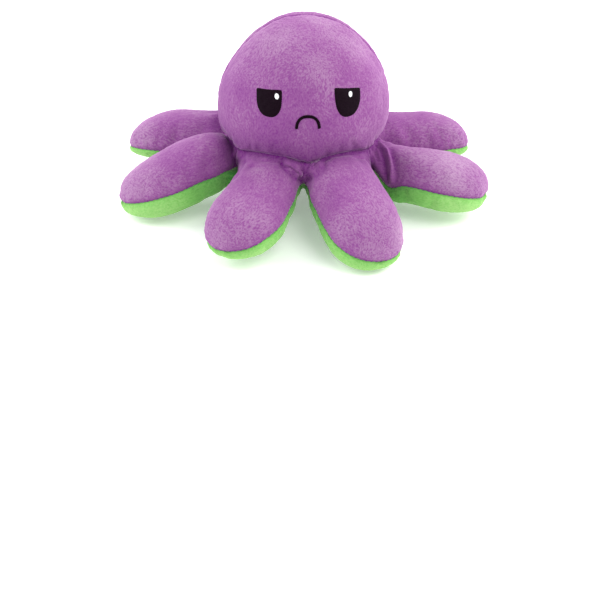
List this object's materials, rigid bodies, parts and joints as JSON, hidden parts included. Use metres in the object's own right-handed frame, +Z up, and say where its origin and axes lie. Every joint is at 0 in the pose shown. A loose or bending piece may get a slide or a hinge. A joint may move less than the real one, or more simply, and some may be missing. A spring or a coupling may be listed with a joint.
{
  "type": "reversible plush octopus",
  "caption": "Reversible stuffed octopus toy with a round head over a turning pocket, a frowning embroidered face and short padded legs that flex.",
  "frame": {"origin": "on the surface it stands on, under the middle of the head", "axes": "+Z up, -Y towards the front where the face is, +X to the viewer's right"},
  "size_m": [0.1942, 0.1896, 0.099],
  "materials": {
    "purple_plush": "short brushed pile",
    "green_plush": "short brushed pile",
    "fibre_filling": "loose polyester fibre",
    "black_embroidery": "satin stitch",
    "white_embroidery": "satin stitch",
    "purple_seam_thread": "sewing thread",
    "green_seam_thread": "sewing thread"
  },
  "bodies": {
    "head": {"head_front": "purple_plush", "head_back": "purple_plush", "crown_seam_thread": "purple_seam_thread", "neck_seam_thread": "purple_seam_thread", "head_stuffing": "fibre_filling", "pocket_front": "green_plush", "pocket_back": "green_plush", "pocket_seam_thread": "green_seam_thread", "mouth_seam_thread": "green_seam_thread", "ring_cover": "purple_plush", "ring_lining": "green_plush", "ring_seam_thread": "purple_seam_thread", "ring_stuffing": "fibre_filling", "frown_left_eye": "black_embroidery", "frown_right_eye": "black_embroidery", "frown_left_highlight": "white_embroidery", "frown_right_highlight": "white_embroidery", "frown_mouth": "black_embroidery", "smile_left_eye": "black_embroidery", "smile_right_eye": "black_embroidery", "smile_left_highlight": "white_embroidery", "smile_right_highlight": "white_embroidery", "smile_mouth": "black_embroidery"},
    "front_right_leg": {"front_right_leg_cover": "purple_plush", "front_right_leg_lining": "green_plush", "front_right_leg_stuffing": "fibre_filling", "front_right_leg_seam": "purple_seam_thread"},
    "side_front_right_leg": {"side_front_right_leg_cover": "purple_plush", "side_front_right_leg_lining": "green_plush", "side_front_right_leg_stuffing": "fibre_filling", "side_front_right_leg_seam": "purple_seam_thread"},
    "side_back_right_leg": {"side_back_right_leg_cover": "purple_plush", "side_back_right_leg_lining": "green_plush", "side_back_right_leg_stuffing": "fibre_filling", "side_back_right_leg_seam": "purple_seam_thread"},
    "back_right_leg": {"back_right_leg_cover": "purple_plush", "back_right_leg_lining": "green_plush", "back_right_leg_stuffing": "fibre_filling", "back_right_leg_seam": "purple_seam_thread"},
    "back_left_leg": {"back_left_leg_cover": "purple_plush", "back_left_leg_lining": "green_plush", "back_left_leg_stuffing": "fibre_filling", "back_left_leg_seam": "purple_seam_thread"},
    "side_back_left_leg": {"side_back_left_leg_cover": "purple_plush", "side_back_left_leg_lining": "green_plush", "side_back_left_leg_stuffing": "fibre_filling", "side_back_left_leg_seam": "purple_seam_thread"},
    "side_front_left_leg": {"side_front_left_leg_cover": "purple_plush", "side_front_left_leg_lining": "green_plush", "side_front_left_leg_stuffing": "fibre_filling", "side_front_left_leg_seam": "purple_seam_thread"},
    "front_left_leg": {"front_left_leg_cover": "purple_plush", "front_left_leg_lining": "green_plush", "front_left_leg_stuffing": "fibre_filling", "front_left_leg_seam": "purple_seam_thread"}
  },
  "joints": [
    {"name": "front_right_leg_hinge", "type": "hinge", "parent": "head", "child": "front_right_leg", "pos_m": [0.02013, -0.0486, 0.02403], "axis": [-0.9239, -0.3827, 0], "range_deg": [-20, 60], "stiffness_Nm_per_rad": 0.05, "springref_deg": -4.58},
    {"name": "side_front_right_leg_hinge", "type": "hinge", "parent": "head", "child": "side_front_right_leg", "pos_m": [0.0486, -0.02013, 0.02403], "axis": [-0.3827, -0.9239, 0], "range_deg": [-20, 60], "stiffness_Nm_per_rad": 0.05, "springref_deg": -4.58},
    {"name": "side_back_right_leg_hinge", "type": "hinge", "parent": "head", "child": "side_back_right_leg", "pos_m": [0.0486, 0.02013, 0.02403], "axis": [0.3827, -0.9239, 0], "range_deg": [-20, 60], "stiffness_Nm_per_rad": 0.05, "springref_deg": -4.58},
    {"name": "back_right_leg_hinge", "type": "hinge", "parent": "head", "child": "back_right_leg", "pos_m": [0.02013, 0.0486, 0.02403], "axis": [0.9239, -0.3827, 0], "range_deg": [-20, 60], "stiffness_Nm_per_rad": 0.05, "springref_deg": -4.58},
    {"name": "back_left_leg_hinge", "type": "hinge", "parent": "head", "child": "back_left_leg", "pos_m": [-0.02013, 0.0486, 0.02403], "axis": [0.9239, 0.3827, 0], "range_deg": [-20, 60], "stiffness_Nm_per_rad": 0.05, "springref_deg": -4.58},
    {"name": "side_back_left_leg_hinge", "type": "hinge", "parent": "head", "child": "side_back_left_leg", "pos_m": [-0.0486, 0.02013, 0.02403], "axis": [0.3827, 0.9239, 0], "range_deg": [-20, 60], "stiffness_Nm_per_rad": 0.05, "springref_deg": -4.58},
    {"name": "side_front_left_leg_hinge", "type": "hinge", "parent": "head", "child": "side_front_left_leg", "pos_m": [-0.0486, -0.02013, 0.02403], "axis": [-0.3827, 0.9239, 0], "range_deg": [-20, 60], "stiffness_Nm_per_rad": 0.05, "springref_deg": -4.58},
    {"name": "front_left_leg_hinge", "type": "hinge", "parent": "head", "child": "front_left_leg", "pos_m": [-0.02013, -0.0486, 0.02403], "axis": [-0.9239, 0.3827, 0], "range_deg": [-20, 60], "stiffness_Nm_per_rad": 0.05, "springref_deg": -4.58}
  ]
}
